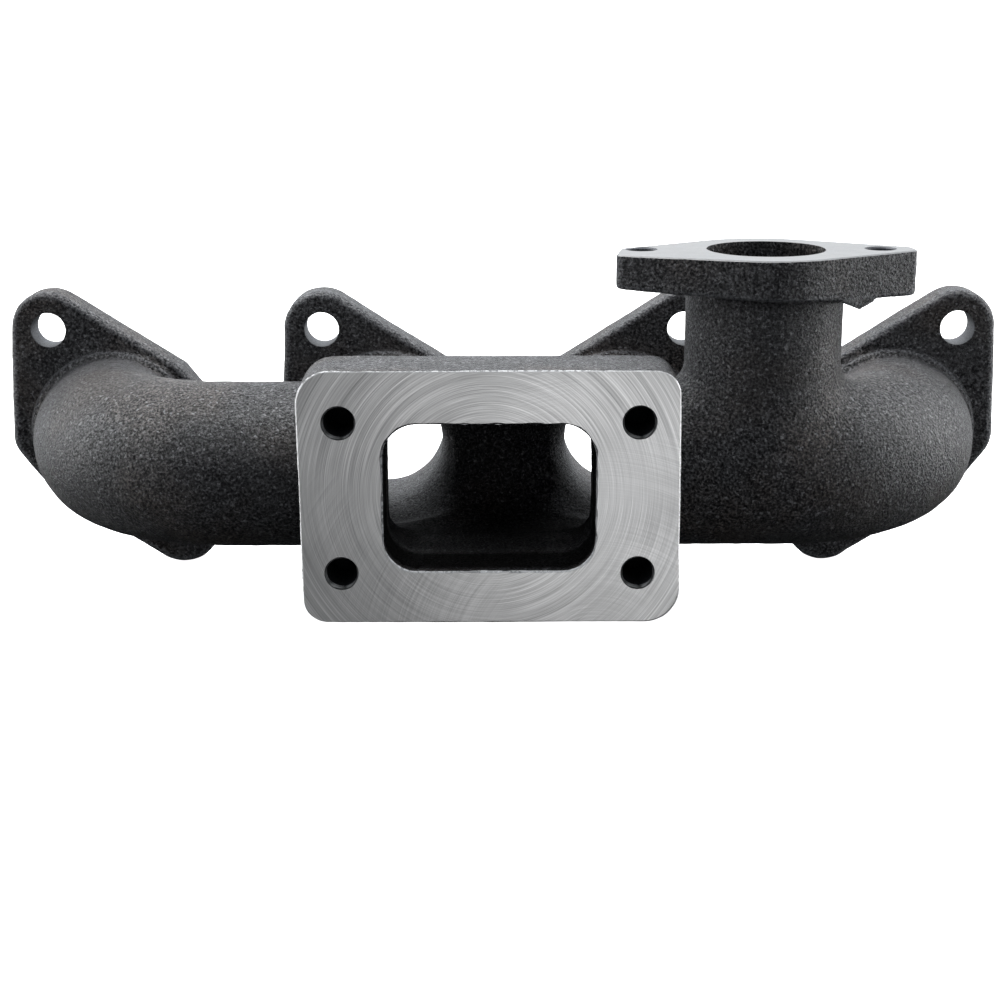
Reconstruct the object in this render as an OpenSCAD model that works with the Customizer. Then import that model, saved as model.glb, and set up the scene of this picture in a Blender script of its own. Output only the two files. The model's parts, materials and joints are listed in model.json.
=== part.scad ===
// Log-style turbo exhaust manifold for a four-cylinder engine.
// The real part is one iron casting. Each module here is one named section of that casting,
// cut where one section meets the next, so the sections touch face to face.
// X runs along the engine, +Y points into the cylinder head and +Z is up.
// The origin is the centre of the turbine bolt pattern, on the machined turbine face.

/* [Turbine flange] */
// Bolt spacing along the engine
turbine_bolt_dx = 84.1; // [83:0.1:86]
// Bolt spacing up and down
turbine_bolt_dz = 43.7; // [42:0.1:46]
// Core diameter of the tapped bolt holes
turbine_tap_d = 8.6; // [8:0.1:9]
// Depth of the tapped bolt holes, which end inside the block
turbine_tap_depth = 20; // [14:0.5:22]
// Depth of the solid flange block, front to back
turbine_flange_t = 24; // [16:0.5:26]
// Half width of the flange block at its widest
turbine_half_w = 53.9; // [52:0.1:56]
// Half height of the flange block
turbine_half_h = 36.6; // [35:0.1:40]
// Width of the gas opening
gas_window_w = 60; // [56:0.5:62]
// Height of the gas opening
gas_window_h = 42.6; // [38:0.2:44]
// Corner radius of the gas opening
gas_window_r = 9.5; // [6:0.5:12]

/* [Head flanges] */
// Distance from the turbine face to the cylinder head
head_y = 103.2; // [98:0.2:110]
// Distance between the two inner ports
inner_pitch = 77; // [74:0.5:86]
// Distance from an inner port to the outer port beside it
outer_pitch = 88.4; // [86:0.2:96]
// How far the ports' middle lies beside the turbine flange's middle
port_shift_x = 4.4; // [0:0.1:6]
// Thickness of each head flange
head_flange_t = 11.3; // [9:0.1:13]
// Diameter of each gas port
port_d = 37.4; // [34:0.2:39]
// Diameter of the stud holes
stud_hole_d = 11; // [9:0.1:12]
// Distance of each stud from its port, along the engine
stud_dx = 20.2; // [18:0.1:22]
// Distance of each stud above or below the flange's middle
stud_dz = 33; // [31:0.5:36]
// Radius of the ear round each stud hole
ear_r = 12.3; // [10:0.1:13]

/* [Log and runners] */
// Outside diameter of the log and its runners
log_d = 50.2; // [48:0.2:52]
// Bore of the log
log_bore_d = 39.6; // [38:0.2:42]
// Radius of the outer runners' bend, on the centreline
bend_r = 42.7; // [40:0.1:46]
// Height of the log's axis above the turbine flange's middle
log_z = -1.7; // [-3:0.1:0]

/* [Wastegate outlet] */
// Place of the outlet's riser along the engine
wastegate_x = 82.4; // [80:0.1:85]
// How far the middle of the outlet's bolt holes lies from the riser's axis
wastegate_bolt_shift = -1.4; // [-2:0.1:0]
// Height of the outlet's machined face
wastegate_z = 63.6; // [58:0.2:70]
// Outside diameter of the riser
riser_d = 47; // [44:0.5:48]
// Bore of the riser
wastegate_bore_d = 35.2; // [32:0.2:38]
// Bolt spacing of the outlet flange
wastegate_bolt_dx = 71.2; // [70:0.1:73]
// Diameter of the outlet's bolt holes
wastegate_hole_d = 8.6; // [8:0.1:9]
// Thickness of the outlet flange at the riser's axis
wastegate_flange_t = 12.3; // [10:0.1:14]

/* [Hidden] */
$fn = 96;
// Extra length that lets a cutter pass clean through a face.
past = 1;

log_r = log_d / 2;
port_r = port_d / 2;
flange_front_y = head_y - head_flange_t;
log_y = flange_front_y - bend_r;
port_x = [
    port_shift_x - inner_pitch / 2 - outer_pitch,
    port_shift_x - inner_pitch / 2,
    port_shift_x + inner_pitch / 2,
    port_shift_x + inner_pitch / 2 + outer_pitch
];
// The log runs straight between the two bends.
log_x0 = port_x[0] + bend_r;
log_x1 = port_x[3] - bend_r;
// The middle section of the log carries the turbine window and both inner ports.
centre_x0 = -60;
centre_x1 = 57;
// The head flanges sit a little above the ports' own axis.
head_flange_lift = 0.9;
// The flange outline turns at two rounded corners on each side, relative to the flange's middle.
side_corner = [22.9, -2];
side_corner_r = 11;
low_corner = [18.9, -16.8];
low_corner_r = 5;
// The raised collar where a runner leaves its head flange.
collar_r = 27;
collar_tip_r = 25.4;
collar_h = 2.6;
// The neck wraps the turbine window between the flange block and the log.
neck_wall = 5.5;
// The flange block's corners, from the upper left one clockwise: x and z, then the radius.
turbine_corners = [
    [-turbine_half_w, turbine_half_h, 9.5],
    [turbine_half_w - 0.4, turbine_half_h, 7],
    [turbine_half_w, -turbine_half_h, 10],
    [0.7 - turbine_half_w, -turbine_half_h, 7]
];
// The outlet flange's underside is as cast, and slopes down away from the turbine flange.
underside_slope = 2.3;
underside_reach = 70;
// The outlet flange's outline, relative to the riser's axis: x, y and radius of each round corner.
wastegate_corners = [
    [-0.4, -0.9, 26.4],
    [-42.2, -11.2, 3],
    [-40.2, 0.2, 3],
    [41.2, -2, 3.5],
    [40.8, 1.6, 3.5]
];
// Remains of the casting gate under the outlet flange: where it is, and its size.
gate_stub_at = [26.3, -15.5];
gate_stub_size = [13, 7, 2.6];

// The stud ears lean outwards at the top: to the left on ports 1 and 2, to the right on 3 and 4.
function lean(i) = i < 2 ? -1 : 1;

// Stands a shape up so that its own Z axis points away from the head, from port i's place at y.
module at_port(i, y) {
    translate([port_x[i], y, log_z]) rotate([90, 0, 0]) children();
}

// A straight round bar along the log's axis.
module log_bar(d, x0, x1) {
    translate([x0, log_y, log_z]) rotate([0, 90, 0]) cylinder(d = d, h = x1 - x0);
}

// A round quarter bend from the head flange of port 0 or port 3 to the end of the log.
module bend_bar(i, d) {
    translate([port_x[i] - lean(i) * bend_r, flange_front_y, log_z])
        rotate([0, 0, i == 0 ? 180 : 270])
            rotate_extrude(angle = 90) translate([bend_r, 0]) circle(d = d);
}

// The bore of port i, from the head face to the middle of the log.
module port_bore(i) {
    at_port(i, head_y + past) cylinder(d = port_d, h = head_y + past - log_y);
}

module gas_window_outline(grow) {
    hull() for (sx = [-1, 1], sz = [-1, 1])
        translate([sx * (gas_window_w / 2 - gas_window_r), sz * (gas_window_h / 2 - gas_window_r)])
            circle(gas_window_r + grow, $fn = 48);
}

// The straight gas passage from the turbine face to the middle of the log.
module gas_window() {
    translate([0, -past, 0]) mirror([0, 1, 0]) rotate([90, 0, 0])
        linear_extrude(log_y + past) gas_window_outline(0);
}

module head_flange_outline(side) {
    hull() for (s = [-1, 1]) {
        translate(s * [side * stud_dx, stud_dz]) circle(ear_r, $fn = 64);
        translate(s * [side * side_corner.x, side_corner.y]) circle(side_corner_r, $fn = 48);
        translate(s * [side * low_corner.x, low_corner.y]) circle(low_corner_r, $fn = 48);
    }
}

module port_flange(i) {
    color("dimgray") difference() {
        at_port(i, head_y) translate([0, head_flange_lift, 0])
            linear_extrude(head_flange_t) head_flange_outline(lean(i));
        at_port(i, head_y + past) cylinder(d = port_d, h = head_flange_t + 2 * past);
        for (s = [-1, 1])
            at_port(i, head_y + past)
                translate([s * lean(i) * stud_dx, s * stud_dz + head_flange_lift, 0])
                    cylinder(d = stud_hole_d, h = head_flange_t + 2 * past);
    }
}

// The collar is a cone round the runner, and the runner itself fills its middle.
module port_collar(i) {
    color("dimgray") difference() {
        at_port(i, flange_front_y) cylinder(r1 = collar_r, r2 = collar_tip_r, h = collar_h);
        if (i == 0 || i == 3) bend_bar(i, log_d);
        else at_port(i, flange_front_y + past) cylinder(d = log_d, h = collar_h + 2 * past);
    }
}

module outer_runner(i) {
    color("darkslategray") difference() {
        bend_bar(i, log_d);
        bend_bar(i, port_d);
        if (i == 3) wastegate_bore();
    }
}

// The inner runners are short straight tubes that end on the back of the log.
module inner_runner(i) {
    color("darkslategray") difference() {
        at_port(i, flange_front_y) cylinder(d = log_d, h = flange_front_y - log_y);
        log_bar(log_d, centre_x0 - log_r, log_x1);
        port_bore(i);
    }
}

module log_section(x0, x1) {
    color("darkslategray") difference() {
        log_bar(log_d, x0, x1);
        log_bar(log_bore_d, x0 - past, x1 + past);
        children();
    }
}

module log_left() {
    log_section(log_x0, centre_x0);
}

module log_centre_left() {
    log_section(centre_x0, port_shift_x) {
        gas_window();
        port_bore(1);
    }
}
module log_centre_right() {
    log_section(port_shift_x, centre_x1) {
        gas_window();
        port_bore(2);
    }
}

module log_right() {
    log_section(centre_x1, log_x1) {
        port_bore(2);
        wastegate_bore();
    }
}

module collector_neck() {
    color("dimgray") difference() {
        translate([0, turbine_flange_t, 0]) mirror([0, 1, 0]) rotate([90, 0, 0])
            linear_extrude(log_y - turbine_flange_t) gas_window_outline(neck_wall);
        log_bar(log_d, centre_x0, centre_x1);
        gas_window();
    }
}

module turbine_flange_outline() {
    hull() for (c = turbine_corners)
        translate([c.x - sign(c.x) * c.z, c.y - sign(c.y) * c.z]) circle(c.z, $fn = 64);
}

module turbine_flange() {
    color("silver") difference() {
        mirror([0, 1, 0]) rotate([90, 0, 0])
            linear_extrude(turbine_flange_t) turbine_flange_outline();
        gas_window();
        for (sx = [-1, 1], sz = [-1, 1])
            translate([sx * turbine_bolt_dx / 2, -past, sz * turbine_bolt_dz / 2]) rotate([-90, 0, 0])
                cylinder(d = turbine_tap_d, h = turbine_tap_depth + past);
    }
}

// The wastegate's gas passage, from above the outlet's face down into the log.
module wastegate_bore() {
    translate([wastegate_x, log_y, log_z])
        cylinder(d = wastegate_bore_d, h = wastegate_z - log_z + past);
}

// Everything above the outlet flange's sloping underside.
module above_underside() {
    translate([wastegate_x, log_y, wastegate_z - wastegate_flange_t]) rotate([0, underside_slope, 0])
        translate([-underside_reach, -underside_reach, 0])
            cube([2 * underside_reach, 2 * underside_reach, underside_reach]);
}

module wastegate_riser() {
    color("darkslategray") difference() {
        translate([wastegate_x, log_y, log_z]) cylinder(d = riser_d, h = wastegate_z - log_z);
        above_underside();
        log_bar(log_d, centre_x0, log_x1);
        bend_bar(3, log_d);
        wastegate_bore();
    }
}

module wastegate_flange() {
    color("gray") difference() {
        intersection() {
            translate([wastegate_x, log_y, wastegate_z - 2 * wastegate_flange_t])
                linear_extrude(2 * wastegate_flange_t)
                    hull() for (c = wastegate_corners) translate([c.x, c.y]) circle(c.z, $fn = 64);
            above_underside();
        }
        wastegate_bore();
        for (s = [-1, 1])
            translate([
                wastegate_x + wastegate_bolt_shift + s * wastegate_bolt_dx / 2,
                log_y,
                wastegate_z - 2 * wastegate_flange_t
            ])
                cylinder(d = wastegate_hole_d, h = 2 * wastegate_flange_t + past);
    }
}

// A small broken-off wedge that hangs below the outlet flange.
module gate_stub() {
    color("dimgray") difference() {
        translate([wastegate_x + gate_stub_at.x, log_y + gate_stub_at.y, wastegate_z - wastegate_flange_t])
            rotate([90, 0, 0]) linear_extrude(gate_stub_size.y, center = true)
                polygon([
                    [-gate_stub_size.x / 2, 0],
                    [0, -gate_stub_size.z - 1],
                    [gate_stub_size.x / 2, 0]
                ]);
        above_underside();
    }
}

port_flange(0);  // port_flange_1
port_flange(1);  // port_flange_2
port_flange(2);  // port_flange_3
port_flange(3);  // port_flange_4
port_collar(0);  // port_collar_1
port_collar(1);  // port_collar_2
port_collar(2);  // port_collar_3
port_collar(3);  // port_collar_4
outer_runner(0);  // outer_runner_1
inner_runner(1);  // inner_runner_2
inner_runner(2);  // inner_runner_3
outer_runner(3);  // outer_runner_4
log_left();
log_centre_left();
log_centre_right();
log_right();
collector_neck();
turbine_flange();
wastegate_riser();
wastegate_flange();
gate_stub();
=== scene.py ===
"""Looks of the cast exhaust manifold.

The cast skin is one distance field in millimetres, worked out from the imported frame. It is meshed
once, then cut into the casting's named sections, so that the sections meet without a visible seam.
"""
import json
import math

import bmesh
import bpy
import numpy as np
from mathutils import Matrix, Vector

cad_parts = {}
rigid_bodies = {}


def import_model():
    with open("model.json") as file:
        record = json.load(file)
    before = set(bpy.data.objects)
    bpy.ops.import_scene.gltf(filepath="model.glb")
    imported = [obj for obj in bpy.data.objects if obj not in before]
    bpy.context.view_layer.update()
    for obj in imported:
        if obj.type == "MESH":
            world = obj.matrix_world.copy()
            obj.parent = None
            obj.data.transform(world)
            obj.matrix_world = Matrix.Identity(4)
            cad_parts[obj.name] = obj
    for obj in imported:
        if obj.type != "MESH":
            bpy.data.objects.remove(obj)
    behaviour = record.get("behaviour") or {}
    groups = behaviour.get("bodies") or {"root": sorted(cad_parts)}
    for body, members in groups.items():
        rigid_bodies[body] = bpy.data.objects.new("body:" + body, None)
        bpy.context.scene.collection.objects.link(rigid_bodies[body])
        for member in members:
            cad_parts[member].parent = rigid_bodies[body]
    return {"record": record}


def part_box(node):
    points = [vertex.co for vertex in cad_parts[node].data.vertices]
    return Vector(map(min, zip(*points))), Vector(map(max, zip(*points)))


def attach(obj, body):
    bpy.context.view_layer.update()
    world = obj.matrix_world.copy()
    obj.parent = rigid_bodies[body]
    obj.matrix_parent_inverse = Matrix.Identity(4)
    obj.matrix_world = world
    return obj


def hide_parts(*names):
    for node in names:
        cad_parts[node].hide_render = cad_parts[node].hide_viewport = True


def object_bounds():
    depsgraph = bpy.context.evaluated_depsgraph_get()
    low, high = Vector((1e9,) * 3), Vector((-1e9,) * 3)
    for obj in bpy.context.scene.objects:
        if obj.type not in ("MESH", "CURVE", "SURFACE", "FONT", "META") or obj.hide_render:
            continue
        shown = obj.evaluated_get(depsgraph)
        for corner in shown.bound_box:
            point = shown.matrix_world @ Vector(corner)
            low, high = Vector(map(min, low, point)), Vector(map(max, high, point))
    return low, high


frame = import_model()
CAD_BOUNDS = [list(corner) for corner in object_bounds()]
MM = 0.001

# ---------------------------------------------------------------- sizes, all in mm, from the frame

MOUNTS = {m["name"]: m for m in frame["record"]["mounts"]}


def place(name):
    return [v / MM for v in MOUNTS[name]["pos_m"]]


def size(name, key):
    return MOUNTS[name]["dims"][key]


def span(node):
    low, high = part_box(node)
    return [v / MM for v in low], [v / MM for v in high]


HEAD_Y = span("port_flange_1")[1][1]
PLATE_Y = span("port_flange_1")[0][1]
BLOCK_T = span("turbine_flange")[1][1]
LOG_LOW, LOG_HIGH = span("log_left")
LOG_R = (LOG_HIGH[2] - LOG_LOW[2]) / 2
LOG_Y = (LOG_HIGH[1] + LOG_LOW[1]) / 2
LOG_Z = (LOG_HIGH[2] + LOG_LOW[2]) / 2
BEND_R = PLATE_Y - LOG_Y
PORT_X = [place(f"port_bore_{i}")[0] for i in (1, 2, 3, 4)]
SIDES = (-1, -1, 1, 1)  # which way each port's flange leans
PORT_R = size("port_bore_1", "r_mm")
MID_X = (PORT_X[0] + PORT_X[3]) / 2
OUTER_U = (PORT_X[3] - PORT_X[0]) / 2
INNER_U = (PORT_X[2] - PORT_X[1]) / 2
STRAIGHT_U = OUTER_U - BEND_R
STUD_DX = size("head_studs_outer_upper", "spacing_x_mm") / 2 - OUTER_U
STUD_TOP = place("head_studs_outer_upper")[2]
STUD_LOW = place("head_studs_outer_lower")[2]
PLATE_Z = (STUD_TOP + STUD_LOW) / 2
STUD_DZ = (STUD_TOP - STUD_LOW) / 2
STUD_R = size("head_studs_outer_upper", "hole_r_mm")
GATE_X, GATE_Y, GATE_Z = place("wastegate_bore")[0], place("wastegate_bore")[1], place("wastegate_face")[2]
BOLT_X = place("wastegate_bolts")[0]
GATE_R = size("wastegate_bore", "r_mm")
GATE_BOLT_DX = size("wastegate_bolts", "spacing_x_mm") / 2
GATE_BOLT_R = size("wastegate_bolts", "hole_r_mm")
RISER_R = (span("wastegate_riser")[1][0] - span("wastegate_riser")[0][0]) / 2
TAP_DX = size("turbine_bolts", "spacing_x_mm") / 2
TAP_DZ = size("turbine_bolts", "spacing_y_mm") / 2
TAP_R = size("turbine_bolts", "hole_r_mm")
TAP_DEPTH = 20.0
TAP_PITCH = 1.5

LOG_WALL = 5.3
LOG_BORE_R = LOG_R - LOG_WALL
# Half width, half height and corner radius of the turbine window
WINDOW_W, WINDOW_H, WINDOW_R = 30.0, 21.3, 9.5
NECK_WALL = 5.5
# Rings of corner circles, anticlockwise: two coordinates of each centre, then its radius
BLOCK_W, BLOCK_H = span("turbine_flange")[1][0], span("turbine_flange")[1][2]
BLOCK_CORNERS = [(9.5 - BLOCK_W, BLOCK_H - 9.5, 9.5), (7.7 - BLOCK_W, 7.0 - BLOCK_H, 7.0),
                 (BLOCK_W - 10.0, 10.0 - BLOCK_H, 10.0), (BLOCK_W - 7.4, BLOCK_H - 7.0, 7.0)]
PLATE_CORNERS = [(STUD_DX, STUD_DZ, 12.3), (-18.9, 16.8, 5.0), (-22.9, 2.0, 11.0),
                 (-STUD_DX, -STUD_DZ, 12.3), (18.9, -16.8, 5.0), (22.9, -2.0, 11.0)]
GATE_CORNERS = [(-0.4, -0.9, 26.4), (-40.2, 0.2, 3.0), (-42.2, -11.2, 3.0),
                (-0.4, -0.9, 26.4), (41.2, -2.0, 3.5), (40.8, 1.6, 3.5)]
LID_T = 12.3
UNDERSIDE_Z, UNDERSIDE_SLOPE = GATE_Z - LID_T, math.tan(math.radians(2.3))
STUB_LOW, STUB_HIGH = span("gate_stub")
STUB_X, STUB_Y = (STUB_LOW[0] + STUB_HIGH[0]) / 2, (STUB_LOW[1] + STUB_HIGH[1]) / 2
STUB_Z, STUB_T = STUB_LOW[2], (STUB_HIGH[1] - STUB_LOW[1]) / 2
BEAD_RING_R, BEAD_R = 25.4, 1.9  # the raised bead round each collar
NECK_MID_Y, NECK_HALF = 33.0, 20.0  # where the neck's field starts and ends, front to back
SPARE = 2.0  # how far the rough casting stands past each machined face before it is cut
SHY = 0.35  # how far a cast face stays behind the plane where its section ends
CELL = 1.0


# ---------------------------------------------------------------- distance field

def smin(a, b, k):
    """The lower of two fields, blended over a distance of about k."""
    h = np.clip(0.5 + 0.5 * (b - a) / k, 0, 1)
    return b + (a - b) * h - k * h * (1 - h)


def ease(t):
    """A soft step from 0 to 1."""
    t = np.clip(t, 0, 1)
    return t * t * (3 - 2 * t)


def smax(a, b, k):
    """The higher of two fields, blended in the same way."""
    return -smin(-a, -b, k)


def side_normals(corners):
    """The outward normal of each straight side that runs from one corner circle to the next."""
    normals = []
    for (x0, y0, r0), (x1, y1, r1) in zip(corners, corners[1:] + corners[:1]):
        dx, dy = x1 - x0, y1 - y0
        length = math.hypot(dx, dy)
        lean = (r0 - r1) / length
        square = math.sqrt(1 - lean * lean)
        normals.append(((lean * dx + square * dy) / length, (lean * dy - square * dx) / length))
    return normals


def outline(corners):
    """A function of x and y: distance to the convex outline round a ring of circles, listed anticlockwise."""
    normals = side_normals(corners)

    def distance(x, y):
        best = None
        for k, (cx, cy, r) in enumerate(corners):
            n, before = normals[k], normals[k - 1]
            dx, dy = x - cx, y - cy
            line = n[0] * dx + n[1] * dy - r
            inside = (before[0] * dy - before[1] * dx >= 0) & (dx * n[1] - dy * n[0] >= 0)
            arc = np.where(inside, np.hypot(dx, dy) - r, -1e3)
            near = np.maximum(line, arc)
            best = near if best is None else np.maximum(best, near)
        return best
    return distance


def slab(flat, axial, edge):
    """A plate with rounded edges, from the distance to its outline and the distance to its faces."""
    a, b = flat + edge, axial + edge
    return np.hypot(np.maximum(a, 0), np.maximum(b, 0)) + np.minimum(np.maximum(a, b), 0) - edge


block_outline = outline(BLOCK_CORNERS)
plate_outline = outline(PLATE_CORNERS)
gate_outline = outline(GATE_CORNERS)


def window(x, z, grow):
    """Distance to the turbine window's outline, grown by that much."""
    a = np.abs(x) - (WINDOW_W - WINDOW_R)
    b = np.abs(z) - (WINDOW_H - WINDOW_R)
    return np.hypot(np.maximum(a, 0), np.maximum(b, 0)) + np.minimum(np.maximum(a, b), 0) - WINDOW_R - grow


def centre_path(u, y):
    """Distance in plan from the line down the middle of the log, round the bend and into the outer port."""
    bend = np.abs(np.hypot(u - STRAIGHT_U, y - PLATE_Y) - BEND_R)
    past_bend = np.where(y > PLATE_Y, np.abs(u - OUTER_U), bend)
    return np.where(u < STRAIGHT_U, np.abs(y - LOG_Y), past_bend)


def underside(x):
    return UNDERSIDE_Z - UNDERSIDE_SLOPE * (x - GATE_X)


def outside(x, y, z):
    """The casting's outer surface: log, runners, riser, neck, flange block, head flanges, lid and stub."""
    u, h = np.abs(x - MID_X), z - LOG_Z
    body = np.hypot(centre_path(u, y), h) - LOG_R
    stub = np.maximum(np.hypot(np.abs(u - INNER_U), h) - LOG_R, LOG_Y - y)
    body = np.maximum(smin(body, stub, 1 + 8 * ease((y - LOG_Y - 2) / 14)), y - HEAD_Y - SPARE)
    riser = np.maximum(np.hypot(x - GATE_X, y - GATE_Y) - RISER_R, LOG_Z - z)
    riser = np.maximum(riser, z - GATE_Z)
    body = smin(body, riser, 0.5 + 7 * ease((z - LOG_Z + 12) / 26))
    neck = smax(window(x, z, NECK_WALL), np.abs(y - NECK_MID_Y) - NECK_HALF, 9.0)
    body = smin(body, neck, 6.0)
    block = slab(block_outline(x, z), np.maximum(-SPARE - y, y - BLOCK_T + SHY), 1.3)
    body = smin(body, block, 3.0)
    for px, side in zip(PORT_X, SIDES):
        dx = x - px
        flat = plate_outline(dx * side, z - PLATE_Z)
        plate = slab(flat, np.maximum(PLATE_Y + SHY - y, y - HEAD_Y - SPARE), 2.2)
        bead = np.hypot(np.hypot(dx, h) - BEAD_RING_R, y - PLATE_Y + 0.6) - BEAD_R
        body = smin(body, smin(plate, bead, 1.2), 1.2)
    under = underside(x) + SHY - z
    lid = slab(gate_outline(x - GATE_X, y - GATE_Y), np.maximum(under, z - GATE_Z - SPARE), 1.3)
    flank = 0.4 * np.abs(x - STUB_X) + 0.92 * (STUB_Z - z)
    stub = smax(flank, np.maximum(np.abs(y - STUB_Y) - STUB_T, z - UNDERSIDE_Z), 1.0)
    lid = smin(lid, np.maximum(stub, gate_outline(x - GATE_X, y - GATE_Y)), 1.0)
    return smin(body, lid, 1.6)


def inside(x, y, z):
    """The gas passages: log, bends, ports, wastegate bore and turbine window."""
    u, h = np.abs(x - MID_X), z - LOG_Z
    taper = np.clip((u - STRAIGHT_U) / 12.0, 0, 1)
    gas = np.hypot(centre_path(u, y), h) - (LOG_BORE_R + (PORT_R - LOG_BORE_R) * taper)
    ports = np.maximum(np.hypot(np.abs(u - INNER_U), h) - PORT_R, LOG_Y - y)
    gas = smin(gas, ports, 2 + 14 * ease((y - LOG_Y) / 12))
    gate = np.maximum(np.hypot(x - GATE_X, y - GATE_Y) - GATE_R, LOG_Z - z)
    gas = smin(gas, gate, 7.0)
    return smin(gas, np.maximum(window(x, z, 0), y - LOG_Y), 1.5)


def lattice(i, j, k, seed):
    """A repeatable value from -1 to 1 for each lattice point."""
    n = (i * 73856093) ^ (j * 19349663) ^ (k * 83492791) ^ (seed * 2654435)
    n = n & 0xFFFFFF
    n = ((n >> 11) ^ n) * 5741 & 0xFFFFFF
    n = ((n >> 9) ^ n) * 8887 & 0xFFFFFF
    return ((n >> 12) ^ n) / 0x7FFFFF - 1.0


def lumps(x, y, z, cell, seed):
    """Smooth value noise from -1 to 1 on a lattice of that cell size."""
    whole, part = [], []
    for v in (x, y, z):
        q = np.asarray(v, float) / cell
        w = np.floor(q)
        t = q - w
        whole.append(w.astype(np.int64))
        part.append(t * t * (3 - 2 * t))
    total = 0.0
    for a in (0, 1):
        for b in (0, 1):
            for c in (0, 1):
                weight = ((part[0] if a else 1 - part[0]) * (part[1] if b else 1 - part[1])
                          * (part[2] if c else 1 - part[2]))
                total = total + weight * lattice(whole[0] + a, whole[1] + b, whole[2] + c, seed)
    return total


def casting(x, y, z):
    return smax(outside(x, y, z), -inside(x, y, z), 0.8)


def skin(x, y, z):
    """The casting with the slight unevenness of a sand mould."""
    uneven = 0.16 * lumps(x, y, z, 17.0, 3) + 0.09 * lumps(x, y, z, 5.0, 5) + 0.07 * lumps(x, y, z, 2.1, 7)
    return casting(x, y, z) - uneven


TETRA = np.array([(1, -1, -1), (-1, -1, 1), (-1, 1, -1), (1, 1, 1)], float)


def slope(field, p, reach):
    """The field's gradient at each row of p, from four samples round it."""
    g = 0.0
    for corner in TETRA:
        q = p + corner * reach
        g = g + corner * field(q[:, 0], q[:, 1], q[:, 2])[:, None]
    return g / (4 * reach)


def surface_net(field, low, high, cell):
    """Vertices and quads of the field's zero surface on a grid of that cell size."""
    axes = [np.arange(a, b + cell, cell, dtype=np.float32) for a, b in zip(low, high)]
    f = field(axes[0][:, None, None], axes[1][None, :, None], axes[2][None, None, :])
    shape = np.array(f.shape)
    cells = shape - 1
    total = int(np.prod(cells))
    sums, count, faces = np.zeros((3, total)), np.zeros(total), []
    for axis in range(3):
        a = f[tuple(slice(0, -1) if k == axis else slice(None) for k in range(3))]
        b = f[tuple(slice(1, None) if k == axis else slice(None) for k in range(3))]
        at = np.argwhere((a < 0) != (b < 0))
        va, vb = a[tuple(at.T)], b[tuple(at.T)]
        p = at.astype(float)
        p[:, axis] += va / (va - vb)
        side, up = (axis + 1) % 3, (axis + 2) % 3
        keep = ((at[:, side] > 0) & (at[:, up] > 0)
                & (at[:, side] < cells[side]) & (at[:, up] < cells[up]))
        at, p, va = at[keep], p[keep], va[keep]
        ring = []
        for ds, du in ((-1, -1), (0, -1), (0, 0), (-1, 0)):
            c = at.copy()
            c[:, side] += ds
            c[:, up] += du
            index = (c[:, 0] * cells[1] + c[:, 1]) * cells[2] + c[:, 2]
            ring.append(index)
            for k in range(3):
                sums[k] += np.bincount(index, p[:, k], total)
            count += np.bincount(index, minlength=total)
        quad = np.stack(ring, axis=1)
        quad[va >= 0] = quad[va >= 0][:, ::-1]
        faces.append(quad)
    used = np.flatnonzero(count)
    number = np.full(total, -1)
    number[used] = np.arange(len(used))
    points = (sums[:, used] / count[used]).T * cell + np.array(low, float)
    return points, number[np.concatenate(faces)]


def watertight(quads):
    """True if every edge is shared by exactly two faces."""
    ends = np.stack([quads, np.roll(quads, -1, axis=1)], axis=2).reshape(-1, 2)
    ends.sort(axis=1)
    return bool((np.unique(ends[:, 0] * (quads.max() + 1) + ends[:, 1], return_counts=True)[1] == 2).all())


def settle(field, p, steps, limit):
    """Moves each point onto the zero surface."""
    for _ in range(steps):
        g = slope(field, p, 0.05)
        move = field(p[:, 0], p[:, 1], p[:, 2])[:, None] * g / np.maximum((g * g).sum(1), 0.2)[:, None]
        length = np.linalg.norm(move, axis=1)[:, None]
        p = p - move * np.minimum(1, limit / np.maximum(length, 1e-9))
    return p


# ---------------------------------------------------------------- mesh helpers

def new_object(name, points, faces):
    """A mesh object from points in mm and faces that all have the same number of corners."""
    faces = np.asarray(faces)
    mesh = bpy.data.meshes.new(name)
    mesh.vertices.add(len(points))
    mesh.vertices.foreach_set("co", (np.asarray(points) * MM).astype(np.float32).ravel())
    mesh.loops.add(faces.size)
    mesh.loops.foreach_set("vertex_index", faces.astype(np.int32).ravel())
    mesh.polygons.add(len(faces))
    mesh.polygons.foreach_set("loop_start", np.arange(0, faces.size, faces.shape[1], dtype=np.int32))
    mesh.update(calc_edges=True)
    o = bpy.data.objects.new(name, mesh)
    bpy.context.scene.collection.objects.link(o)
    return o


BOX_FACES = [(0, 1, 3, 2), (4, 6, 7, 5), (0, 4, 5, 1), (2, 3, 7, 6), (0, 2, 6, 4), (1, 5, 7, 3)]


def box(name, low, high):
    """A box between two corners."""
    points = [(x, y, z) for x in (low[0], high[0]) for y in (low[1], high[1]) for z in (low[2], high[2])]
    return new_object(name, points, BOX_FACES)


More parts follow.
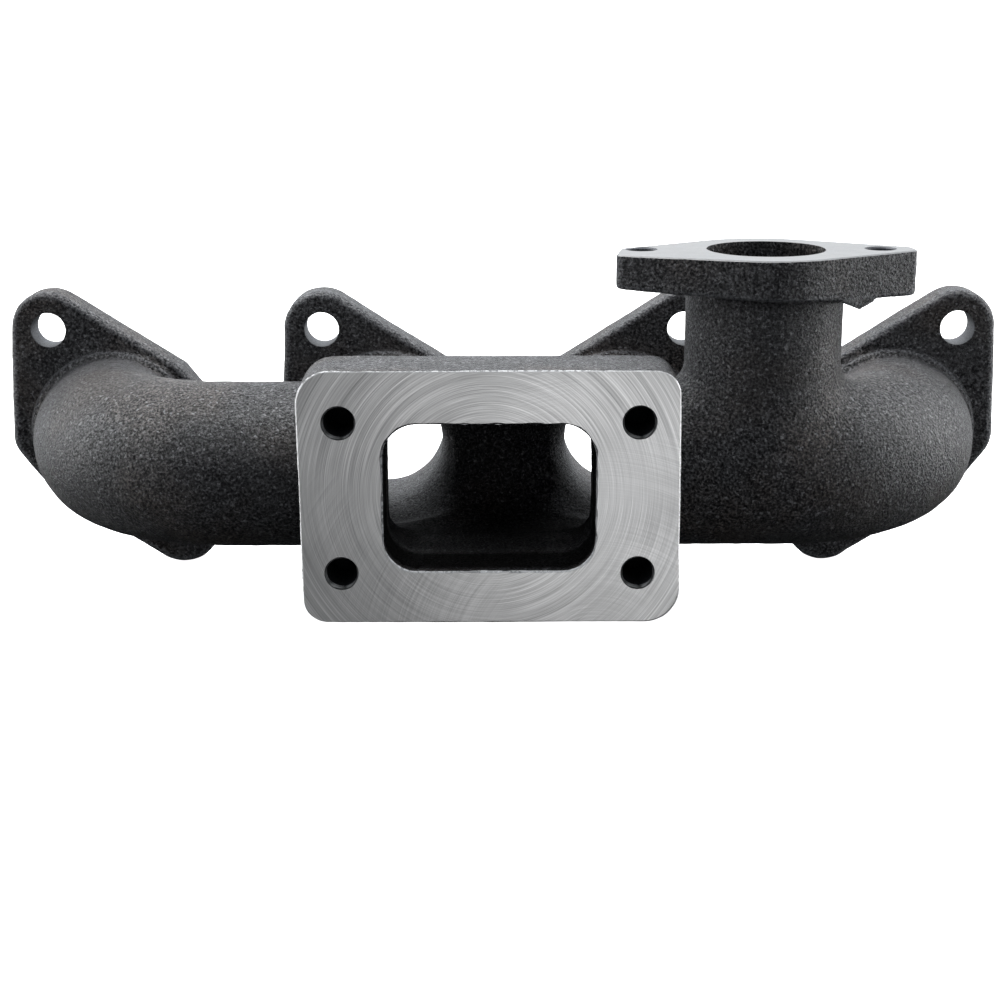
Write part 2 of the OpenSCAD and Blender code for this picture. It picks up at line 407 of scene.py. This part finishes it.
def turned(name, profile, segments, origin, axis):
    """A closed turned solid. profile lists (distance along axis, radius) from one end to the other."""
    axis = Vector(axis).normalized()
    side = Vector((1, 0, 0)) if abs(axis.x) < 0.5 else Vector((0, 1, 0))
    side = (side - axis * side.dot(axis)).normalized()
    other = axis.cross(side)
    points, faces = [], []
    for along, radius in profile:
        for k in range(segments):
            a = 2 * math.pi * k / segments
            r = radius(a, along) if callable(radius) else radius
            points.append(Vector(origin) + axis * along + (side * math.cos(a) + other * math.sin(a)) * r)
    for i in range(len(profile) - 1):
        for k in range(segments):
            a, b = i * segments + k, i * segments + (k + 1) % segments
            faces.append((a, b, b + segments, a + segments))
    first, last = len(points), len(points) + 1
    points += [Vector(origin) + axis * profile[0][0], Vector(origin) + axis * profile[-1][0]]
    top = (len(profile) - 1) * segments
    mesh = bpy.data.meshes.new(name)
    caps = [(first, (k + 1) % segments, k) for k in range(segments)]
    caps += [(last, top + k, top + (k + 1) % segments) for k in range(segments)]
    mesh.from_pydata([tuple(p * MM) for p in points], [], faces + caps)
    o = bpy.data.objects.new(name, mesh)
    bpy.context.scene.collection.objects.link(o)
    return o


def combine(target, tools, operation):
    """Applies one boolean after another to target's mesh."""
    for tool in tools:
        m = target.modifiers.new("cut", "BOOLEAN")
        m.operation, m.solver, m.object = operation, "MANIFOLD", tool
    bpy.context.view_layer.update()
    made = bpy.data.meshes.new_from_object(target.evaluated_get(bpy.context.evaluated_depsgraph_get()))
    target.modifiers.clear()
    old, target.data = target.data, made
    bpy.data.meshes.remove(old)


def discard(objects):
    for o in objects:
        mesh = o.data
        bpy.data.objects.remove(o)
        bpy.data.meshes.remove(mesh)


FAR = 300.0
MACHINED_EDGE = 0.4
HOLE_EDGE = 0.5
THREAD_DEPTH, COUNTERSINK = 0.45, 0.6


def ring(corners, grow, steps=9):
    """Points round the outline of a ring of corner circles, grown by that much."""
    normals, points = side_normals(corners), []
    for k, (cx, cy, r) in enumerate(corners):
        start = math.atan2(normals[k - 1][1], normals[k - 1][0])
        turn = (math.atan2(normals[k][1], normals[k][0]) - start) % (2 * math.pi)
        for step in range(steps + 1):
            a = start + turn * step / steps
            points.append((cx + (r + grow) * math.cos(a), cy + (r + grow) * math.sin(a)))
    return points


def loft(name, sections, spot):
    """A closed solid through matching rings. sections lists (ring, level); spot gives each point's place."""
    count = len(sections[0][0])
    points = [spot(a, b, level) for outline_points, level in sections for a, b in outline_points]
    faces = [tuple(range(count))[::-1], tuple(range(len(points) - count, len(points)))]
    for i in range(len(sections) - 1):
        for k in range(count):
            a, b = i * count + k, i * count + (k + 1) % count
            faces.append((a, b, b + count, a + count))
    mesh = bpy.data.meshes.new(name)
    mesh.from_pydata([(x * MM, y * MM, z * MM) for x, y, z in points], [], faces)
    o = bpy.data.objects.new(name, mesh)
    bpy.context.scene.collection.objects.link(o)
    return o


def outward(o):
    """Turns every face of a cutter outwards."""
    bm = bmesh.new()
    bm.from_mesh(o.data)
    bmesh.ops.recalc_face_normals(bm, faces=bm.faces)
    bm.to_mesh(o.data)
    bm.free()
    return o


def ragged(radius, depth, seed):
    """A hole's mouth, chipped unevenly round its edge."""
    def at(angle, along):
        wave = sum(math.sin(angle * n + seed * n * 1.7) / n ** 0.5 for n in (2, 3, 5, 8, 13, 21))
        return radius + depth * max(0.15, 0.5 + 0.22 * wave)
    return at


def thread(angle, along):
    """Radius of a tapped hole, with its mouth countersunk."""
    turn = (along / TAP_PITCH + angle / (2 * math.pi)) % 1.0
    groove = TAP_R + THREAD_DEPTH * min(1.0, 3.2 * min(turn, 1 - turn))
    return max(groove, TAP_R + COUNTERSINK - along)


def stud_hole(px, side, end, seed):
    """A through hole with a chipped mouth on the cast side and a bevelled edge on the machined side."""
    at = (px + side * end * STUD_DX, PLATE_Y + SHY - 0.3, PLATE_Z + end * STUD_DZ)
    deep = HEAD_Y - at[1]
    mouth = [(-3.0, ragged(STUD_R, 0.4, seed)), (0.0, ragged(STUD_R, 0.35, seed)),
             (0.5, ragged(STUD_R, 0.15, seed + 1))]
    profile = mouth + [(1.2, STUD_R), (deep - 0.6, STUD_R), (deep, STUD_R + HOLE_EDGE),
                       (deep + 3.0, STUD_R + HOLE_EDGE)]
    return outward(turned("cut_stud", profile, 72, at, (0, 1, 0)))


def gate_hole(side):
    """A through hole in the outlet flange, from its cast underside up to its machined top."""
    x = BOLT_X + side * GATE_BOLT_DX
    low = underside(x)
    deep = GATE_Z - low
    mouth = [(-3.0, ragged(GATE_BOLT_R, 0.5, side + 4)), (0.4, ragged(GATE_BOLT_R, 0.4, side + 4))]
    profile = mouth + [(1.2, GATE_BOLT_R), (deep - HOLE_EDGE, GATE_BOLT_R), (deep, GATE_BOLT_R + HOLE_EDGE),
                       (deep + 3.0, GATE_BOLT_R + HOLE_EDGE)]
    return outward(turned("cut_gate_bolt", profile, 64, (x, GATE_Y, low), (0, 0, 1)))


def tapped_hole(sx, sz):
    """A blind threaded hole in the turbine face, with a drill point at its bottom."""
    step = 0.25
    profile = [(-1.0, TAP_R + COUNTERSINK)] + [(k * step, thread) for k in range(int(TAP_DEPTH / step))]
    profile += [(TAP_DEPTH, TAP_R), (TAP_DEPTH + 1.6, 0.4)]
    return outward(turned("cut_tapped", profile, 56, (sx * TAP_DX, 0, sz * TAP_DZ), (0, 1, 0)))


# ---------------------------------------------------------------- sections of the casting

COLLAR_Y = span("port_collar_1")[0][1]
INNER_Y = LOG_Y + 22.0
NECK_Y = BLOCK_T + 12.0
LEFT_X, RIGHT_X = span("log_left")[0][0], span("log_right")[1][0]
CENTRE_X0, CENTRE_X1 = span("log_centre_left")[0][0], span("log_centre_right")[1][0]
RISER_Z = LOG_Z + 22.0
RISER_LOW = (GATE_X - RISER_R - 2.5, GATE_Y - 27.0, RISER_Z)
RISER_HIGH = (GATE_X + RISER_R + 2.5, GATE_Y + 27.0, FAR)


def upright(a, b, level):
    """Turns an outline's point into a place in a plane that faces the turbine."""
    return a, level, b


def lid_space():
    """Everything above the outlet flange's sloping underside."""
    reach = 70
    rim = [(-reach, -reach), (reach, -reach), (reach, reach), (-reach, reach)]

    def spot(a, b, top):
        return GATE_X + a, GATE_Y + b, FAR if top else underside(GATE_X + a)
    return outward(loft("cut_lid", [(rim, 0.0), (rim, 1.0)], spot))


def faced(corners, spot, back, front):
    """The space behind a machined face: its outline is bevelled at the face and wide open behind it."""
    inwards = 1.0 if back > front else -1.0
    bevel = front + inwards * MACHINED_EDGE
    wide = ring(corners, 5.0)
    rows = [(ring(corners, -MACHINED_EDGE), front), (ring(corners, 0.0), bevel),
            (wide, bevel + inwards * 0.02), (wide, back)]
    return outward(loft("cut_face", rows, spot))


def plate_space(i):
    """The space behind one head flange's machined face."""
    turn = PLATE_CORNERS if SIDES[i] > 0 else [(-a, b, r) for a, b, r in PLATE_CORNERS[::-1]]
    return faced([(PORT_X[i] + a, PLATE_Z + b, r) for a, b, r in turn], upright, PLATE_Y, HEAD_Y)


def cut_section(whole, name, room, less=(), holes=()):
    """One named section: the part of the whole casting inside room and outside every solid in less."""
    o = bpy.data.objects.new(name, whole.data.copy())
    bpy.context.scene.collection.objects.link(o)
    combine(o, room, "INTERSECT")
    if less or holes:
        combine(o, [*less, *holes], "DIFFERENCE")
    return o


def build_sections(whole):
    """Cuts the casting into the frame's named sections."""
    lid, riser = lid_space(), box("cut_riser", RISER_LOW, RISER_HIGH)
    stub = box("cut_stub", (STUB_LOW[0] - 1.5, STUB_LOW[1] - 1.5, STUB_LOW[2] - 2),
               (STUB_HIGH[0] + 1.5, STUB_HIGH[1] + 1.5, FAR))
    block = faced(BLOCK_CORNERS, upright, BLOCK_T, 0.0)
    neck = box("cut_neck", (-40, BLOCK_T, -FAR), (40, NECK_Y, FAR))
    split = (PORT_X[1] + PORT_X[2]) / 2
    inner_left, inner_right = [
        box("cut_inner", (x - 27, INNER_Y, -FAR), (x + 27, COLLAR_Y, FAR)) for x in PORT_X[1:3]]
    made = {}

    def along(x0, x1, front=-FAR):
        return box("cut_along", (x0, front, -FAR), (x1, COLLAR_Y, FAR))

    def section(node, room, less=(), holes=()):
        made[node] = cut_section(whole, node + "_cast", room, less, holes)

    gate_top = faced([(GATE_X + a, GATE_Y + b, r) for a, b, r in GATE_CORNERS],
                     lambda a, b, level: (a, b, level), 0.0, GATE_Z)
    section("wastegate_flange", [lid, gate_top], holes=[gate_hole(-1), gate_hole(1)])
    section("gate_stub", [stub], [lid, riser])
    section("wastegate_riser", [riser], [lid])
    taps = [tapped_hole(a, b) for a in (-1, 1) for b in (-1, 1)]
    section("turbine_flange", [block], [window_bevel()], taps)
    section("collector_neck", [neck], [lid])
    for i, (x, side) in enumerate(zip(PORT_X, SIDES)):
        collar = box("cut_collar", (x - 38, COLLAR_Y, -FAR), (x + 38, PLATE_Y, FAR))
        holes = [stud_hole(x, side, end, 3.0 * i + end) for end in (-1, 1)]
        section(f"port_flange_{i + 1}", [plate_space(i)], holes=holes)
        section(f"port_collar_{i + 1}", [collar])
    section("inner_runner_2", [inner_left])
    section("inner_runner_3", [inner_right], [lid])
    section("outer_runner_1", [along(-FAR, LEFT_X)])
    section("outer_runner_4", [along(RIGHT_X, FAR)], [lid, riser, stub])
    section("log_left", [along(LEFT_X, CENTRE_X0)], [inner_left])
    section("log_centre_left", [along(CENTRE_X0, split, BLOCK_T)], [neck, inner_left])
    section("log_centre_right", [along(split, CENTRE_X1, BLOCK_T)], [neck, inner_right, lid, riser])
    section("log_right", [along(CENTRE_X1, RIGHT_X)], [lid, riser, inner_right])
    return made


# ---------------------------------------------------------------- materials

class Look:
    """A procedural material, built up node by node."""

    def __init__(self, name):
        self.material = bpy.data.materials.new(name)
        self.material.use_nodes = True
        self.tree = self.material.node_tree
        self.shader = self.tree.nodes["Principled BSDF"]
        self.where = self.add("ShaderNodeTexCoord").outputs["Object"]

    def add(self, kind, inputs=None, **settings):
        n = self.tree.nodes.new(kind)
        for key, value in settings.items():
            setattr(n, key, value)
        for key, value in (inputs or {}).items():
            self.put(n.inputs[key], value)
        return n

    def put(self, socket, value):
        if isinstance(value, bpy.types.NodeSocket):
            self.tree.links.new(value, socket)
        else:
            socket.default_value = value

    def maths(self, operation, a, b=0.0, c=0.0, clamp=False):
        return self.add("ShaderNodeMath", {0: a, 1: b, 2: c}, operation=operation, use_clamp=clamp).outputs[0]

    def noise(self, cell_mm, detail=3.0, rough=0.5, where=None):
        return self.add("ShaderNodeTexNoise", {
            "Vector": where or self.where, "Scale": 1 / (cell_mm * MM), "Detail": detail, "Roughness": rough,
        }).outputs["Fac"]

    def ramp(self, factor, stops, smooth=False):
        n = self.add("ShaderNodeValToRGB", {"Fac": factor})
        n.color_ramp.interpolation = "EASE" if smooth else "LINEAR"
        while len(n.color_ramp.elements) < len(stops):
            n.color_ramp.elements.new(0.5)
        for element, (at, colour) in zip(n.color_ramp.elements, stops):
            element.position = at
            element.color = (*colour, 1) if isinstance(colour, tuple) else (colour, colour, colour, 1)
        return n.outputs["Color"]

    def between(self, factor, low, high, out_low=0.0, out_high=1.0):
        return self.add("ShaderNodeMapRange", {
            "Value": factor, "From Min": low, "From Max": high, "To Min": out_low, "To Max": out_high,
        }).outputs["Result"]

    def mix(self, factor, a, b, blend="MIX"):
        n = self.add("ShaderNodeMix", {"Factor": factor}, data_type="RGBA", blend_type=blend)
        self.put(n.inputs[6], a)
        self.put(n.inputs[7], b)
        return n.outputs[2]

    def bump(self, height, reach_mm, strength=1.0, under=None):
        n = self.add("ShaderNodeBump", {"Height": height, "Distance": reach_mm * MM, "Strength": strength})
        if under is not None:
            self.put(n.inputs["Normal"], under)
        return n.outputs["Normal"]

    def attribute(self, name):
        return self.add("ShaderNodeAttribute", attribute_name=name).outputs["Fac"]

    def times(self, colour, factor):
        return self.mix(1.0, colour, (*factor, 1.0), "MULTIPLY")

    def finish(self, **inputs):
        for key, value in inputs.items():
            self.put(self.shader.inputs[key.replace("_", " ")], value)
        return self.material


def cast_skin():
    """Sand-cast iron skin: near black, fine grained, paler on its worn edges, with faint brown patches."""
    m = Look("cast_skin")
    grain = m.noise(0.74, 4.0, 0.62)
    coarse = m.noise(3.2, 3.0, 0.6)
    patch = m.noise(26.0, 3.0, 0.55)
    speck = m.noise(1.1, 2.0, 0.6)
    dark, middle, pale = (0.004, 0.004, 0.005), (0.02, 0.02, 0.022), (0.13, 0.13, 0.138)
    tone = m.ramp(grain, [(0.36, dark), (0.5, middle), (0.66, pale)])
    tone = m.mix(m.between(coarse, 0.4, 0.62), m.times(tone, (0.7, 0.7, 0.7)), tone)
    smoother = m.between(m.noise(40.0, 1.0, 0.5), 0.47, 0.6, 0.0, 0.5)
    tone = m.mix(smoother, tone, (0.03, 0.03, 0.032, 1.0))
    brown = m.between(m.noise(30.0, 2.0, 0.5), 0.46, 0.62, 0.0, 0.9)
    tone = m.mix(brown, tone, m.times(tone, (1.35, 1.08, 0.88)))
    # Painted glints: small bright specks in the base colour stand in for light sparkling on the grain.
    painted_glint = m.between(speck, 0.6, 0.7, 0.0, 0.65)
    tone = m.mix(painted_glint, tone, (0.36, 0.36, 0.375, 1.0))
    edge = m.attribute("edge")
    uneven = m.maths("MULTIPLY", m.maths("SUBTRACT", grain, 0.5), 1.4)
    worn = m.between(m.maths("ADD", edge, uneven), 0.66, 1.1)
    tone = m.mix(m.maths("MULTIPLY", worn, 0.55), tone, (0.19, 0.195, 0.21, 1.0))
    # Painted shade: deep inside the passages the skin is painted near black, rougher and with little
    # reflection.
    soot = m.attribute("soot")
    tone = m.mix(m.maths("MULTIPLY", soot, 0.93), tone, (0.002, 0.002, 0.002, 1.0))
    mottle = m.maths("ADD", m.maths("MULTIPLY", patch, 0.6), m.maths("MULTIPLY", grain, 0.4))
    rough = m.maths("ADD", m.between(mottle, 0.3, 0.7, 0.3, 0.52), m.maths("MULTIPLY", soot, 0.35))
    shine = m.maths("MULTIPLY", m.between(grain, 0.36, 0.62, 0.08, 0.85), m.between(soot, 0, 1, 1.0, 0.12))
    under = m.bump(coarse, 0.8, 0.7)
    skin_bump = m.bump(grain, 1.25, 1.0, under)
    return m.finish(Base_Color=tone, Roughness=rough, Normal=skin_bump, Specular_IOR_Level=shine)


def milled_face():
    """Turbine flange face: bright iron with the arcs of a facing cut, and a second crossing set."""
    m = Look("milled_face")
    split = m.add("ShaderNodeSeparateXYZ", {"Vector": m.where})

    def arcs(cx, cz, pitch_mm, seed):
        dx = m.maths("SUBTRACT", split.outputs["X"], cx * MM)
        dz = m.maths("SUBTRACT", split.outputs["Z"], cz * MM)
        r = m.maths("SQRT", m.maths("ADD", m.maths("MULTIPLY", dx, dx), m.maths("MULTIPLY", dz, dz)))
        across, up = m.maths("DIVIDE", dx, r), m.maths("DIVIDE", dz, r)
        spot = m.add("ShaderNodeCombineXYZ", {"X": m.maths("MULTIPLY", r, 1 / (pitch_mm * MM)), "Y": across,
                                              "Z": m.maths("ADD", up, seed)})
        one_unit = 1 / MM
        return m.noise(one_unit, 2.0, 0.6, spot.outputs[0]), across, up

    main, across, up = arcs(0.0, 1.5, 0.3, 0.0)
    second = arcs(30.0, -52.0, 0.36, 7.0)[0]
    where_second = m.between(m.noise(38.0, 1.0, 0.5), 0.46, 0.62)
    crossing = m.maths("MULTIPLY", where_second, 0.45)
    lines = m.add("ShaderNodeMix", {0: crossing, 2: main, 3: second}, data_type="FLOAT").outputs[0]
    tone = m.ramp(lines, [(0.25, 0.33), (0.5, 0.48), (0.75, 0.65)])
    tone = m.mix(0.3, tone, m.ramp(m.noise(24.0, 2.0, 0.5), [(0.3, 0.36), (0.7, 0.64)], True), "OVERLAY")
    # Painted sheen: the face is painted lighter towards its right and a little darker towards its top,
    # standing in for light sweeping across the arcs.
    painted_sheen = m.maths("MULTIPLY_ADD", across, 0.17, m.maths("MULTIPLY_ADD", up, -0.07, 0.97))
    painted_sheen_grey = m.add("ShaderNodeCombineColor", {0: painted_sheen, 1: painted_sheen, 2: painted_sheen}).outputs[0]
    tone = m.mix(1.0, tone, painted_sheen_grey, "MULTIPLY")
    on_bevel = m.between(split.outputs["Y"], 0.05 * MM, 0.3 * MM)
    # Chips on the window's bevel, painted near white: the chips are wear, their brightness is a painted
    # highlight along the rim.
    chips_and_highlight = m.maths("MULTIPLY", on_bevel, m.between(m.noise(1.3, 2.0, 0.6), 0.42, 0.52))
    tone = m.mix(chips_and_highlight, tone, (0.97, 0.97, 0.97, 1.0))
    rough = m.maths("ADD", m.between(lines, 0.2, 0.8, 0.42, 0.28), m.maths("MULTIPLY", chips_and_highlight, 0.25))
    round_centre = m.add("ShaderNodeTangent", direction_type="RADIAL", axis="Y").outputs["Tangent"]
    return m.finish(Base_Color=tone, Roughness=rough, Metallic=1.0, Anisotropic=0.6, Tangent=round_centre,
                    Normal=m.bump(lines, 0.014, 0.6))


def ground_top():
    """Flat ground iron on the outlet's top, on the head faces and round the bevels."""
    m = Look("ground_iron")
    fine = m.noise(0.6, 3.0, 0.6)
    cloud = m.noise(14.0, 3.0, 0.55)
    tone = m.mix(0.5, m.ramp(cloud, [(0.3, 0.25), (0.7, 0.34)]), m.ramp(fine, [(0.3, 0.2), (0.7, 0.4)]))
    return m.finish(Base_Color=tone, Roughness=m.between(cloud, 0.3, 0.7, 0.42, 0.3), Metallic=0.9,
                    Normal=m.bump(fine, 0.06, 0.5))


def drilled_wall():
    """Bare drilled iron, dulled by handling."""
    m = Look("drilled_iron")
    fine = m.noise(0.5, 3.0, 0.6)
    tone = m.ramp(fine, [(0.3, (0.035, 0.037, 0.042)), (0.7, (0.13, 0.135, 0.15))])
    # Painted shade: deep in the holes and passages the wall is painted near black, less metallic and with
    # little reflection.
    soot = m.attribute("soot")
    tone = m.mix(m.maths("MULTIPLY", soot, 0.9), tone, (0.004, 0.004, 0.004, 1.0))
    return m.finish(Base_Color=tone, Roughness=m.between(fine, 0.3, 0.7, 0.5, 0.34),
                    Metallic=m.between(soot, 0, 1, 0.35, 0.0),
                    Normal=m.bump(fine, 0.08, 0.6), Specular_IOR_Level=m.between(soot, 0, 1, 0.4, 0.05))


# ---------------------------------------------------------------- dressing the sections

def window_bevel():
    """Chips the turbine window's rim unevenly where the facing cut broke through."""
    dx, dz = WINDOW_W - WINDOW_R, WINDOW_H - WINDOW_R
    rim = [(a * dx, b * dz, WINDOW_R) for a, b in ((-1, 1), (-1, -1), (1, -1), (1, 1))]

    def dense(grow):
        points, out = ring(rim, grow), []
        for (x0, y0), (x1, y1) in zip(points, points[1:] + points[:1]):
            count = max(1, round(math.hypot(x1 - x0, y1 - y0) / 1.2))
            out += [(x0 + (x1 - x0) * k / count, y0 + (y1 - y0) * k / count) for k in range(count)]
        return out

    def chipped(a, b, level):
        jitter = 1 + 0.3 * float(lumps(a, b, 0.0, 2.3, 11)) / math.hypot(a, b)
        return a * jitter, level, b * jitter
    mouth = dense(0.5)
    rows = [([(a * k, b * k) for a, b in mouth], level)
            for k, level in ((1.05, -1.0), (1.0, 0.0), (0.97, 0.75))]
    return outward(loft("cut_rim", rows, chipped))


CAST, MILLED, GROUND, DRILLED = range(4)
# Node, axis number, the two coordinates of the hole's middle, and how far its bare wall reaches
HOLES = [("port_flange", 1, PORT_X[i] + side * end * STUD_DX, PLATE_Z + end * STUD_DZ, STUD_R + 1.5)
         for i, side in enumerate(SIDES) for end in (-1, 1)]
HOLES += [("turbine_flange", 1, a * TAP_DX, b * TAP_DZ, TAP_R + 1.4) for a in (-1, 1) for b in (-1, 1)]
HOLES += [("wastegate_flange", 2, BOLT_X + a * GATE_BOLT_DX, GATE_Y, GATE_BOLT_R + 1.2) for a in (-1, 1)]


def read(items, key, width, kind=np.float32):
    """One property of every item in a mesh collection, as an array."""
    values = np.empty(len(items) * width, kind)
    items.foreach_get(key, values)
    return values.reshape(-1, width) if width > 1 else values


def paint(mesh, name, values):
    layer = mesh.attributes.new(name, "FLOAT", "POINT")
    layer.data.foreach_set("value", np.clip(values, 0, 1).astype(np.float32))


def wear(mesh, p, tapped):
    """Marks the outward edges, which wear pale, and paints shade deep inside the passages and tapped holes.
    """
    here, reach = casting(*p.T), 0.75
    around = sum(casting(*(p + c * reach).T) for c in TETRA) / 4
    paint(mesh, "edge", 0.5 + 2 * (around - here) / reach ** 2)
    # Painted shade: strongest deep inside the outer surface, fading towards the head ports, and in the tapped
    # holes past their mouths.
    depth = ease(-outside(*p.T) / 6 - 0.2) * (1 - ease((p[:, 1] - LOG_Y - 6) / 18))
    if tapped:
        from_hole = np.hypot(np.abs(p[:, 0]) - TAP_DX, np.abs(p[:, 2]) - TAP_DZ) - TAP_R
        depth = np.maximum(depth, ease((p[:, 1] - 1.6) / 1.6) * (from_hole < 1.0) * (p[:, 1] < TAP_DEPTH + 2))
    paint(mesh, "soot", depth)


def finishes(name, centre, facing, bare):
    """The finish of each face: machined faces by their place, hole walls by their distance from the hole."""
    kind = np.full(len(centre), CAST, np.int32)
    if name.startswith("turbine"):
        kind[bare & (centre[:, 1] < MACHINED_EDGE + 0.45)] = MILLED
    if name.startswith("port_flange"):
        kind[bare & (centre[:, 1] > HEAD_Y - MACHINED_EDGE - 0.02)] = GROUND
    if name.startswith("wastegate_flange"):
        kind[bare & (centre[:, 2] > GATE_Z - MACHINED_EDGE - 0.02)] = GROUND
    for owner, axis, a, b, r in HOLES:
        if not name.startswith(owner):
            continue
        first, second = (0, 2) if axis == 1 else (0, 1)
        close = np.hypot(centre[:, first] - a, centre[:, second] - b) < r
        wall = bare & close & (np.abs(facing[:, axis]) < 0.93)
        kind[wall] = DRILLED
        if owner == "turbine_flange":
            kind[wall & (centre[:, 1] < 2.6)] = GROUND
    return kind


def dress(o, looks):
    """Gives a section its smooth cast normals, its worn edges and the right finish on each kind of face."""
    mesh = o.data
    p = read(mesh.vertices, "co", 3).astype(float) / MM
    grad = slope(skin, p, 0.3)
    grad /= np.maximum(np.linalg.norm(grad, axis=1), 1e-6)[:, None]
    wear(mesh, p, o.name.startswith("turbine"))

    centre, facing = read(mesh.polygons, "center", 3) / MM, read(mesh.polygons, "normal", 3)
    totals = read(mesh.polygons, "loop_total", 1, np.int32)
    corner = read(mesh.loops, "vertex_index", 1, np.int32)
    owner = np.repeat(np.arange(len(totals)), totals)
    off = np.abs(skin(*p.T)) > 0.09
    agree = (facing[owner] * grad[corner]).sum(1)
    strays = np.bincount(owner, (off[corner] | (agree < 0.6)).astype(float), len(totals))
    cast = strays == 0

    kind = finishes(o.name, centre, facing, ~cast)
    used = sorted(set(kind.tolist()))
    mesh.materials.clear()
    for k in used:
        mesh.materials.append(looks[k])
    mesh.polygons.foreach_set("material_index", np.searchsorted(used, kind).astype(np.int32))

    mesh.polygons.foreach_set("use_smooth", np.ones(len(totals), bool))
    mesh.set_sharp_from_angle(angle=math.radians(33))
    normals = read(mesh.corner_normals, "vector", 3)
    smooth = cast[owner] & (agree > 0.75)
    normals[smooth] = grad[corner][smooth]
    mesh.normals_split_custom_set(normals)
    mesh.update()


def build():
    """Meshes the casting once, keeps it inside the CAD box, cuts it into sections and dresses each one."""
    edge_low, edge_high = np.array(CAD_BOUNDS[0]) / MM, np.array(CAD_BOUNDS[1]) / MM
    low = [edge_low[0] - 4, -SPARE - 2.4, edge_low[2] - 4]
    high = [edge_high[0] + 4, HEAD_Y + SPARE + 2.4, GATE_Z + SPARE + 2.4]
    for shift in (0.0, 0.31, 0.57, 0.83):
        points, quads = surface_net(casting, [v - shift for v in low], high, CELL)
        if watertight(quads):
            break
    points = settle(skin, settle(casting, points, 2, CELL), 2, CELL)
    points[:, 0] = np.clip(points[:, 0], edge_low[0], edge_high[0])
    points[:, 2] = np.maximum(points[:, 2], edge_low[2])
    whole = new_object("cut_whole", points, quads)
    made = build_sections(whole)
    discard([o for o in bpy.data.objects if o.name.startswith("cut_")])
    looks = {CAST: cast_skin(), MILLED: milled_face(), GROUND: ground_top(), DRILLED: drilled_wall()}
    for node, o in made.items():
        dress(o, looks)
        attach(o, "root")
        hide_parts(node)


# ---------------------------------------------------------------- studio

def studio():
    """A pale floor, a bright room behind and above, a dim one in front, darkness below and soft boxes."""
    floor_z, reach = CAD_BOUNDS[0][2] / MM - 0.3, 60000
    floor = box("studio_floor", (-reach, -reach, floor_z - 60), (reach, reach, floor_z))
    paper = Look("studio_paper")
    pale = paper.ramp(paper.noise(400.0, 2.0), [(0.3, 0.92), (0.7, 0.94)])
    floor.data.materials.append(paper.finish(Base_Color=pale, Roughness=1.0, Specular_IOR_Level=0.0,
                                             Emission_Color=pale, Emission_Strength=1.15))
    floor.visible_diffuse = floor.visible_glossy = False
    scene = bpy.context.scene
    scene.view_settings.view_transform = "Standard"
    scene.world = scene.world or bpy.data.worlds.new("studio")
    scene.world.use_nodes = True
    sky = scene.world.node_tree
    way = sky.nodes.new("ShaderNodeTexCoord").outputs["Generated"]
    split = sky.nodes.new("ShaderNodeSeparateXYZ")
    sky.links.new(way, split.inputs[0])

    def blend(source, low, high, out_low, out_high):
        n = sky.nodes.new("ShaderNodeMapRange")
        n.interpolation_type = "SMOOTHSTEP"
        sky.links.new(split.outputs[source], n.inputs["Value"])
        for key, value in (("From Min", low), ("From Max", high), ("To Min", out_low), ("To Max", out_high)):
            n.inputs[key].default_value = value
        return n.outputs["Result"]

    def joined(operation, a, b):
        n = sky.nodes.new("ShaderNodeMath")
        n.operation = operation
        sky.links.new(a, n.inputs[0])
        sky.links.new(b, n.inputs[1])
        return n.outputs[0]
    behind = blend("Y", -0.35, 0.55, 0.38, 1.02)
    above = blend("Z", 0.25, 0.8, 1.0, 1.7)
    below = blend("Z", -0.45, 0.0, 0.02, 1.0)
    # A thin bright line at the horizon hides the floor's far edge from every side.
    horizon = joined("MULTIPLY", blend("Z", -0.02, -0.01, 0.0, 1.15), blend("Z", 0.015, 0.025, 1.0, 0.0))
    ground = sky.nodes["Background"]
    ground.inputs["Color"].default_value = (0.925, 0.96, 1.0, 1)
    room = joined("MULTIPLY", joined("MULTIPLY", behind, above), below)
    sky.links.new(joined("MAXIMUM", room, horizon), ground.inputs["Strength"])
    for name, at, to, width, depth, power in (
            ("soft_top", (0, 500, 900), (0, 60, 0), 1.1, 0.7, 14.0),
            ("soft_left", (-900, 350, 100), (-60, 60, 0), 0.7, 0.7, 5.0),
            ("soft_right", (900, 350, 100), (60, 60, 0), 0.7, 0.7, 5.0),
            ("soft_front", (260, -900, -190), (0, 0, 0), 0.9, 0.36, 1.6)):
        data = bpy.data.lights.new(name, "AREA")
        data.shape, data.size, data.size_y, data.energy = "RECTANGLE", width, depth, power
        lamp = bpy.data.objects.new(name, data)
        scene.collection.objects.link(lamp)
        lamp.location = Vector(at) * MM
        lamp.rotation_euler = (Vector(to) - Vector(at)).to_track_quat("-Z", "Y").to_euler()


def camera():
    """The main view: in front of the turbine face, looking a little down on it."""
    yaw, down, roll = (math.radians(v) for v in (-0.1622, 14.983, -0.1351))
    data = bpy.data.cameras.new("camera")
    data.sensor_width, data.lens = 36.0, 68.806
    data.clip_start, data.clip_end = 0.01, 60.0
    o = bpy.data.objects.new("camera", data)
    bpy.context.scene.collection.objects.link(o)
    turn = (Matrix.Rotation(yaw, 3, "Z") @ Matrix.Rotation(math.pi / 2 - down, 3, "X")
            @ Matrix.Rotation(roll, 3, "Z"))
    o.matrix_world = Matrix.Translation(Vector((1.53, -519.2, 138.6)) * MM) @ turn.to_4x4()
    bpy.context.scene.camera = o


build()
studio()
camera()
